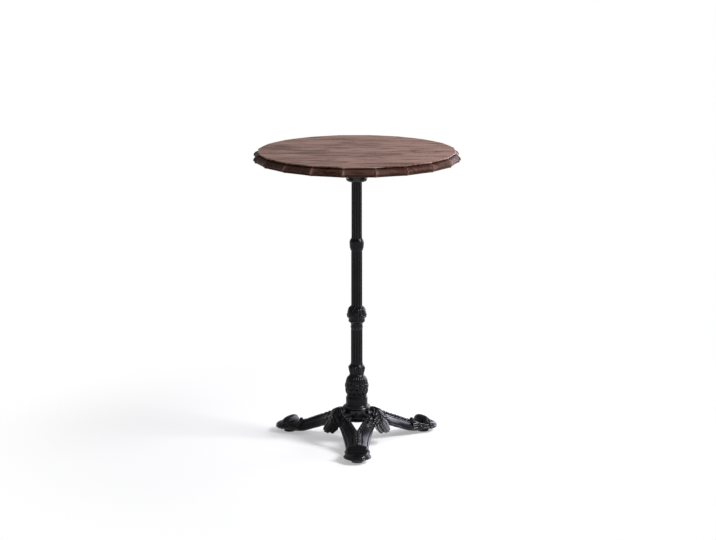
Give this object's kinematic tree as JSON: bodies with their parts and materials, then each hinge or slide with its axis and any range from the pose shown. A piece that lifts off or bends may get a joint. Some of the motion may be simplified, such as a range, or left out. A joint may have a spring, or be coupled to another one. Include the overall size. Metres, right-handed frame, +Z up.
{
  "type": "bar table",
  "caption": "Tall round bistro table: carved wooden top on a fluted cast iron column with a knop, a vase and an open-legged tripod base on screw glides.",
  "frame": {"origin": "on the floor, under the centre of the top and the column", "axes": "+Z up along the column, -Y towards the front leg"},
  "size_m": [0.7546, 0.7546, 1.092],
  "materials": {
    "carved_wood": "dark stained oak, satin, worn at the carved rim",
    "cast_iron": "black paint on sand-cast iron, low satin sheen",
    "plain_steel": "zinc plated",
    "glide_rubber": "moulded, matt"
  },
  "bodies": {
    "table": {"tabletop": "carved_wood", "top_spider": "cast_iron", "upper_shaft": "cast_iron", "ring_collar": "cast_iron", "middle_shaft": "cast_iron", "round_knop": "cast_iron", "lower_shaft": "cast_iron", "vase": "cast_iron", "base_hub": "cast_iron", "leg_1": "cast_iron", "leg_2": "cast_iron", "leg_3": "cast_iron", "shoulder_leaf_1": "cast_iron", "shoulder_leaf_2": "cast_iron", "shoulder_leaf_3": "cast_iron", "leaf_screws": "cast_iron", "spider_screws": "plain_steel", "tie_rod": "plain_steel", "top_washer": "plain_steel", "top_nut": "plain_steel", "leg_bolts": "plain_steel", "bottom_washer": "plain_steel", "bottom_nut": "plain_steel"},
    "pad_1": {"glide_pad_1": "glide_rubber"},
    "stem_1": {"glide_stem_1": "plain_steel"},
    "pad_2": {"glide_pad_2": "glide_rubber"},
    "stem_2": {"glide_stem_2": "plain_steel"},
    "pad_3": {"glide_pad_3": "glide_rubber"},
    "stem_3": {"glide_stem_3": "plain_steel"}
  },
  "joints": [
    {"name": "pad_slide_1", "type": "slide", "parent": "table", "child": "pad_1", "axis": [0, 0, 1], "range_m": [-0.009, 0]},
    {"name": "stem_turn_1", "type": "hinge", "parent": "pad_1", "child": "stem_1", "pos_m": [0, -0.29, 0.006], "axis": [0, 0, 1], "range_deg": [0, 2160]},
    {"name": "pad_slide_2", "type": "slide", "parent": "table", "child": "pad_2", "axis": [0, 0, 1], "range_m": [-0.009, 0]},
    {"name": "stem_turn_2", "type": "hinge", "parent": "pad_2", "child": "stem_2", "pos_m": [0.25115, 0.145, 0.006], "axis": [0, 0, 1], "range_deg": [0, 2160]},
    {"name": "pad_slide_3", "type": "slide", "parent": "table", "child": "pad_3", "axis": [0, 0, 1], "range_m": [-0.009, 0]},
    {"name": "stem_turn_3", "type": "hinge", "parent": "pad_3", "child": "stem_3", "pos_m": [-0.25115, 0.145, 0.006], "axis": [0, 0, 1], "range_deg": [0, 2160]}
  ],
  "couplings": [
    {"joint": "stem_turn_1", "follows": "pad_slide_1", "rad_per_m": -4188.8},
    {"joint": "stem_turn_2", "follows": "pad_slide_2", "rad_per_m": -4188.8},
    {"joint": "stem_turn_3", "follows": "pad_slide_3", "rad_per_m": -4188.8}
  ]
}
